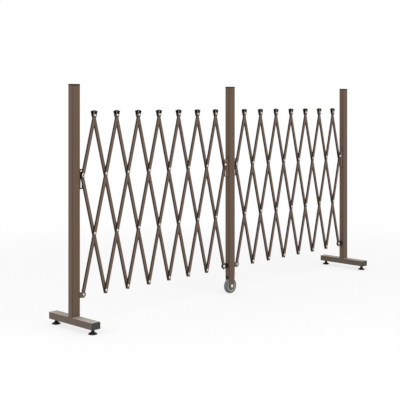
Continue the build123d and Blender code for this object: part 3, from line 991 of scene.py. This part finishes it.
class BARRIER_OT_end_caps(bpy.types.Operator):
    """Make the caps on the posts and in the ends of the base bars"""

    bl_idname = "barrier.end_caps"
    bl_label = "Post and Base Caps"

    def execute(self, context):
        tones = context.scene.barrier_colours
        tone = tones.cap_plastic
        cap_plastic = moulded_plastic("Cap Plastic", tone, 0.4, specular=0.25, dust=0.04)
        end_plastic = moulded_plastic("End Plastic", tones.end_plastic, 0.4)
        for name, body in POSTS:
            cap = f"{name}_post_cap"
            mesh = self.post_cap(cap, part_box(f"{name}_post")[1].z)
            piece = f"{cap}_moulding"
            add_piece(piece, mesh, body, cap_plastic, stands_for=[cap])
        for side in SIDES:
            piece = f"{side}_base_caps"
            mesh = self.base_caps(side, piece)
            stands_for = [f"{side}_base_end_caps"]
            add_piece(piece, mesh, f"{side}_stand", end_plastic, stands_for=stands_for)
        return {"FINISHED"}

    def post_cap(self, name, rim):
        """Cap with a plug in the post's tube and a thin groove over the tube's rim."""
        low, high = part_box(name)
        middle = (low + high) / 2
        size = (high.x - low.x, high.y - low.y)
        plug = [(-9, 6, 6, 1.5), (0, 6, 6, 1.5)]
        groove = [(0, 2.4, 2.4, 2), (0.5, 2.4, 2.4, 2), (0.5, 0.5, 0.5, 2.4), (0.8, 0, 0, 2.6)]
        edge = [(-2.2, 0, 0, 2.6), (-1.4, 0.1, 0.1, 2.6), (-0.7, 0.5, 0.5, 2.6)]
        crown = [(-0.2, 1.6, 1.6, 2.4), (-0.1, 5, 5, 2)]
        rings = insets(*size, plug + groove, rim) + insets(*size, edge + crown, high.z)
        rings.append((high.z, size[0] / 3, size[1] / 4, 1.5 * MM))
        return lofted(name, rings, (middle.x, middle.y), sharp=30)

    def base_caps(self, side, name):
        """Both caps of a base bar, each with a plug in the tube and a shallow hollow outside."""
        low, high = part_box(f"{side}_base_end_caps")
        tube_low, tube_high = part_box(f"{side}_base_bar")
        middle = (low + high) / 2
        size = (high.x - low.x, high.z - low.z)
        plug = [(-12, 6.4, 6.4, 1), (0, 6.4, 6.4, 1)]
        groove = [(0, 1.2, 1.2, 2), (0.4, 1.2, 1.2, 2), (0.4, 0.2, 0.2, 2.2)]
        edge = [(-1.3, 0.2, 0.2, 2.2), (-0.5, 1, 1, 2.2), (0, 3, 3, 2)]
        hollow = [(0, 9, 9, 2), (-0.5, 10, 10, 2)]
        rings = insets(*size, plug + groove)
        rings += insets(*size, edge + hollow, tube_low.y - low.y)
        cap = lofted(f"{side}_base_cap", rings, sharp=30)
        front = Matrix.Translation((middle.x, tube_low.y, middle.z)) @ TO_FRONT
        back = Matrix.Translation((middle.x, tube_high.y, middle.z)) @ TO_BACK
        return joined(name, [(cap, front), (cap, back)])


class BARRIER_OT_feet(bpy.types.Operator):
    """Make the levelling feet with their threaded stems"""

    bl_idname = "barrier.feet"
    bl_label = "Levelling Feet"

    def execute(self, context):
        tone = context.scene.barrier_colours.foot_plastic
        plastic = moulded_plastic("Foot Plastic", tone, 0.45, specular=0.25, dust=0.04)
        zinc = zinc_plate()
        pad = [(0, 0), (19.5, 0), (21.4, 0.5), (22, 1.2), (22, 3.2), (21.3, 4.2)]
        cone = [(18, 6), (13, 9.6), (9.6, 12.8), (8.4, 14.6), (8, 17)]
        collar = [(8, 21.3), (7.3, 22), (4.6, 22)]
        foot = turned("levelling_foot", profile(pad + cone + collar), sides=48, sharp=50)
        rows = [(0, 20), (3.4, 20)]
        for thread in range(16):
            height = 21 + 1.5 * thread
            rows += [(4.1, height), (4.9, height + 0.75)]
        rows += [(4, 46), (0, 46)]
        stem = turned("foot_stem", profile(rows), sides=24, sharp=60)
        for side in SIDES:
            for end in ("front", "rear"):
                name = f"{side}_{end}_foot"
                low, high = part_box(name)
                place = Matrix.Translation(((low.x + high.x) / 2, (low.y + high.y) / 2, 0))
                add_piece(f"{name}_pad", foot, name, plastic, place, [name])
                add_piece(f"{name}_stem", stem, name, zinc, place)
        return {"FINISHED"}


class BARRIER_OT_brackets(bpy.types.Operator):
    """Finish the slotted brackets, and make the pivot brackets, their pins and all screws"""

    bl_idname = "barrier.brackets"
    bl_label = "Brackets"

    def execute(self, context):
        tones = context.scene.barrier_colours
        finishes = {
            "front": powder_coat("Plate Coat", tones.plate_coat, dust=0.3),
            "rear": dark_coat(),
            "slide": slide_bracket_coat(),
            "post": powder_coat("Post Coat", tones.post_coat),
        }
        self.make_group("left", "left_stand", "bracket", (1,), finishes)
        self.make_group("centre", "centre_post", "brackets", (-1, 1), finishes)
        self.make_group("right", "right_stand", "bracket", (-1,), finishes)
        return {"FINISHED"}

    def make_group(self, name, body, noun, sides, finishes):
        """Make all that is on a post, on its right face where side is 1 and left where it is -1."""
        sizes = bpy.context.scene.barrier_sizes
        slide_node = f"{name}_slide_{noun}"
        finish_node(slide_node, finishes["slide"])
        screw_size = (sizes.screw_flats, 3.5 * MM, 5.3 * MM)
        screw = hexagon_head(f"{name}_bracket_screw", *screw_size)
        plate_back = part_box("left_slide_bracket")[1].y
        post_low, post_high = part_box(f"{name}_post")
        slide_low, slide_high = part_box(slide_node)
        screws_low, screws_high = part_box(f"{name}_bracket_screws")
        screw_y = (screws_low.y + screws_high.y) / 2
        lower = (sizes.pivot_height - 7.5 * MM, sizes.pivot_height + 7.5 * MM)
        upper = (slide_low.z + 5 * MM, slide_high.z - 5 * MM)
        pins = []
        screws = []
        coated_screws = []
        for side in sides:
            face_x = post_high.x if side > 0 else post_low.x
            pivot_x = face_x + side * sizes.pivot_reach
            # Rear pivot brackets sit behind the bars and take the dark finish as painted shade.
            kind = "front" if side > 0 else "rear"
            sheet = self.sheet(f"{name}_{kind}_sheet", face_x, pivot_x, side, plate_back)
            piece = f"{name}_{kind}_pivot_bracket"
            stands_for = [f"{name}_pivot_{noun}"]
            add_piece(piece, sheet, body, finishes[kind], stands_for=stands_for)
            pin = self.pin(f"{name}_{kind}_pivot_pin", side, plate_back)
            pins.append((pin, Matrix.Translation((pivot_x, 0, sizes.pivot_height)) @ TO_FRONT))
            turn = Matrix.Rotation(side * pi / 2, 4, "Y")
            for row, heights in ((screws, lower), (screws if side > 0 else coated_screws, upper)):
                for z in heights:
                    spot = Matrix.Translation((face_x + side * FLANGE_THICKNESS, screw_y, z))
                    row.append((screw, spot @ turn))
        mesh = joined(f"{name}_pivot_pins", pins)
        add_piece(f"{name}_pivot_pins", mesh, body, zinc_plate())
        mesh = joined(f"{name}_screws", screws)
        stands_for = [f"{name}_bracket_screws"]
        piece = f"{name}_screws"
        add_piece(piece, mesh, body, finishes["rear"], stands_for=stands_for)
        if coated_screws:
            piece = f"{name}_slide_screws"
            mesh = joined(piece, coated_screws)
            add_piece(piece, mesh, body, finishes["post"])

    def sheet(self, name, face_x, pivot_x, side, plate_back):
        """Bent sheet on a post's face, with its plate in front of the bars where side is 1."""
        sizes = bpy.context.scene.barrier_sizes
        radius = sizes.pivot_plate / 2
        low = sizes.pivot_height - radius
        high = sizes.pivot_height + radius
        start = -90 if side > 0 else 270
        ear = [(face_x, low)] + arc((pivot_x, sizes.pivot_height), radius, start, 90, 16)
        ear.append((face_x, high))
        flat = plate(f"{name}_plate", ear, PLATE_THICKNESS, sizes.coat_edge_radius)
        size = (FLANGE_THICKNESS, FLANGE_DEPTH)
        rings = insets(*size, [(0, 0.4, 0.6, 0.4), (0.3, 0, 0, 0.6)], low)
        rings += insets(*size, [(-0.3, 0, 0, 0.6), (0, 0.4, 0.6, 0.4)], high)
        middle = (face_x + side * FLANGE_THICKNESS / 2, -side * (plate_back - FLANGE_DEPTH / 2))
        flange = lofted(f"{name}_flange", rings, middle)
        spot = Matrix.Translation((0, -side * (plate_back - PLATE_THICKNESS / 2), 0))
        return joined(name, [(flat, spot), (flange, Matrix.Identity(4))])

    def pin(self, name, side, plate_back):
        """Pin with its washer in the bar's free layer. z points away from the plate."""
        bar_end = 0.3 * MM - bpy.context.scene.barrier_sizes.layer_gap / 2
        dome, rise = (5.2, 2.6) if side > 0 else (4.4, 1.2)
        shares = ((0, 1), (0.4, 0.92), (0.75, 0.7), (1, 0.3))
        head = [(dome * out, -rise * up) for out, up in shares] + [(dome, 0), (3, 0)]
        washer = [(3, 0), (8.5, 0), (8.5, 0.9), (8.2, 1.2), (6.2, 1.2)]
        tail = [(5.8, 2.2), (4.2, 3.2), (1.9, 3.7), (0, 3.8)]
        mesh = turned(name, profile(head, -plate_back) + profile(washer + tail, bar_end))
        if side > 0:
            mesh.transform(Matrix.Rotation(pi, 4, "X"))
        return mesh


class BARRIER_OT_wheel(bpy.types.Operator):
    """Make the tyre, hub and axle of the wheel under the centre post"""

    bl_idname = "barrier.wheel"
    bl_label = "Wheel"

    def execute(self, context):
        tones = context.scene.barrier_colours
        low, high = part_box("wheel_tyre")
        hub_low, hub_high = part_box("wheel_hub")
        place = Matrix.Translation((low + high) / 2) @ TO_FRONT
        radius = (high.z - low.z) / 2
        half = (high.y - low.y) / 2
        rim = hub_high.z - (low.z + high.z) / 2
        groove = [(0, -0.6), (1.2, 0), (3.4, 0), (3.8, -0.5), (4.4, -0.5), (4.8, 0)]
        tread = [(-3.6, -0.1), (-1.9, -0.9), (-0.7, -2.6), (-0.15, -5.2)]
        rows = both_sides(profile(groove, half, rim) + profile(tread, half, radius), [(radius, 0)])
        tyre = turned("wheel_tyre_rubber", rows, sides=96, sharp=45, ring=True)
        add_piece("tyre_rubber", tyre, "wheel", tyre_rubber(), place, ["wheel_tyre"])
        boss = [(4.15, -0.3), (4.6, 0), (11.6, 0), (12.6, -0.8), (13, -2.4)]
        dish = [(13.6, 7.4), (15.2, 6.8), (24.6, 6.8), (26.2, 7.6), (26.6, 8.6)]
        rows = profile(boss, (hub_high.y - hub_low.y) / 2) + profile(dish)
        rows = both_sides(rows + [(rim - 0.1 * MM, 8.6 * MM)])
        hub = turned("wheel_hub_disc", rows, sides=64, ring=True)
        plastic = moulded_plastic("Hub Plastic", tones.hub, 0.42)
        add_piece("hub_disc", hub, "wheel", plastic, place, ["wheel_hub"])
        rows = profile([(26.6, 8.6), (26.8, 10), (27.5, 10.8), (30.6, 10.8)])
        rows = both_sides(rows + [(rim - 0.05 * MM, 10 * MM)])
        ring = turned("wheel_hub_ring", rows, sides=64, ring=True)
        light = moulded_plastic("Hub Ring Plastic", tones.hub_ring, 0.35)
        add_piece("hub_ring", ring, "wheel", light, place)
        zinc = zinc_plate()
        mesh = self.axle()
        add_piece("axle_bolt", mesh, "centre_post", zinc, place, ["wheel_axle"])
        return {"FINISHED"}

    def axle(self):
        """Bolt with a domed head in front of the fork and a hexagon nut behind it."""
        post_low, post_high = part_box("centre_post")
        head = [(4, 0), (9.5, 0), (9.5, 1), (9, 1.4), (7.6, 1.6)]
        dome = [(7.2, 3), (6.2, 4.2), (4.4, 5), (2.2, 5.4), (0, 5.5)]
        rows = profile([(0, 0), (4, 0)], -post_high.y) + profile(head + dome, -post_low.y)
        bolt = turned("axle_bolt", rows)
        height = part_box("wheel_axle")[1].y - post_high.y
        nut = hexagon_head("axle_nut", 13 * MM, height, 8.2 * MM)
        turn_back = Matrix.Rotation(pi, 4, "X") @ Matrix.Translation((0, 0, post_high.y))
        return joined("wheel_axle_bolt", [(bolt, Matrix.Identity(4)), (nut, turn_back)])


# Stage


class BARRIER_OT_stage(bpy.types.Operator):
    """Set up the pale floor, the soft light and the camera"""

    bl_idname = "barrier.stage"
    bl_label = "Stage"

    def execute(self, context):
        scene = context.scene
        stage = scene.barrier_stage
        scene.view_settings.view_transform = "Standard"
        shape = bmesh.new()
        bmesh.ops.create_grid(shape, x_segments=2, y_segments=2, size=FLOOR_REACH)
        floor_mesh = finished_mesh(shape, "floor")
        floor_mesh.materials.append(self.floor_finish())
        placed("floor", floor_mesh)
        self.light_world(scene, stage.sky_strength)
        self.hang_lamp("front_lamp", (-0.4, -4.4, 2.9), stage.lamp_power)
        self.hang_lamp("side_lamp", (-4.6, -0.9, 2.2), stage.side_power)
        camera_data = bpy.data.cameras.new("picture_camera")
        camera_data.sensor_width = 36
        camera_data.lens = stage.camera_lens
        camera_data.shift_y = stage.camera_shift
        camera = placed("picture_camera", camera_data)
        camera.location = stage.camera_place
        camera.rotation_euler = (pi / 2, 0, -stage.camera_turn)
        scene.camera = camera
        return {"FINISHED"}

    def hang_lamp(self, name, place, watts):
        """Hang a wide soft lamp that looks at the object's middle."""
        lamp_data = bpy.data.lights.new(name, "AREA")
        lamp_data.shape = "RECTANGLE"
        lamp_data.size, lamp_data.size_y = LAMP_SIZE
        lamp_data.energy = watts
        lamp = placed(name, lamp_data)
        lamp.location = place
        aim = Vector((0.0, 0.0, OBJECT_MIDDLE)) - lamp.location
        lamp.rotation_euler = aim.to_track_quat("-Z", "Y").to_euler()

    def floor_finish(self):
        """Pale floor that keeps the shadow and fades to white away from the object."""
        material = bpy.data.materials.new("Studio Floor")
        tree = empty_tree(material)
        place = tree.nodes.new("ShaderNodeNewGeometry").outputs["Position"]
        away = node(tree, "ShaderNodeVectorMath", [(0, place)], operation="LENGTH")
        clear = stretched(tree, away.outputs["Value"], 1.4, 3.6, 0.7, 1.0)
        factor = sums(tree, "MULTIPLY", clear, seen_plainly(tree))
        matt = node(tree, "ShaderNodeBsdfDiffuse", [("Color", (0.93, 0.93, 0.93, 1))])
        white = node(tree, "ShaderNodeEmission", [("Color", WHITE), ("Strength", 1.0)])
        blend(tree, factor, matt, white, "ShaderNodeOutputMaterial")
        return material

    def light_world(self, scene, strength):
        """Even light from all round, seen as plain white."""
        scene.world = bpy.data.worlds.new("studio_world")
        tree = empty_tree(scene.world)
        light = node(tree, "ShaderNodeBackground", [("Color", WHITE), ("Strength", strength)])
        backdrop = node(tree, "ShaderNodeBackground", [("Color", WHITE), ("Strength", 1.0)])
        blend(tree, seen_plainly(tree), light, backdrop, "ShaderNodeOutputWorld")


OPERATORS = (
    BARRIER_OT_bars,
    BARRIER_OT_sleeve_caps,
    BARRIER_OT_rivets,
    BARRIER_OT_slide_pins,
    BARRIER_OT_posts,
    BARRIER_OT_end_caps,
    BARRIER_OT_feet,
    BARRIER_OT_brackets,
    BARRIER_OT_wheel,
    BARRIER_OT_stage,
)


class BARRIER_PT_pieces(bpy.types.Panel):
    """List of the barrier's pieces and its stage"""

    bl_label = "Safety Barrier"
    bl_idname = "BARRIER_PT_pieces"
    bl_space_type = "VIEW_3D"
    bl_region_type = "UI"
    bl_category = "Barrier"

    def draw(self, context):
        for operator in OPERATORS:
            self.layout.operator(operator.bl_idname)


CLASSES = (BarrierSizes, BarrierColours, StageSettings) + OPERATORS + (BARRIER_PT_pieces,)


def register():
    """Register the classes and hang the settings on the scene."""
    for cls in CLASSES:
        bpy.utils.register_class(cls)
    bpy.types.Scene.barrier_sizes = PointerProperty(type=BarrierSizes)
    bpy.types.Scene.barrier_colours = PointerProperty(type=BarrierColours)
    bpy.types.Scene.barrier_stage = PointerProperty(type=StageSettings)


def unregister():
    """Take the settings and classes away again."""
    del bpy.types.Scene.barrier_stage
    del bpy.types.Scene.barrier_colours
    del bpy.types.Scene.barrier_sizes
    for cls in reversed(CLASSES):
        bpy.utils.unregister_class(cls)


def main():
    """Make every piece and the stage."""
    register()
    bpy.ops.barrier.bars()
    bpy.ops.barrier.sleeve_caps()
    bpy.ops.barrier.rivets()
    bpy.ops.barrier.slide_pins()
    bpy.ops.barrier.posts()
    bpy.ops.barrier.end_caps()
    bpy.ops.barrier.feet()
    bpy.ops.barrier.brackets()
    bpy.ops.barrier.wheel()
    bpy.ops.barrier.stage()


if __name__ == "__main__":
    main()
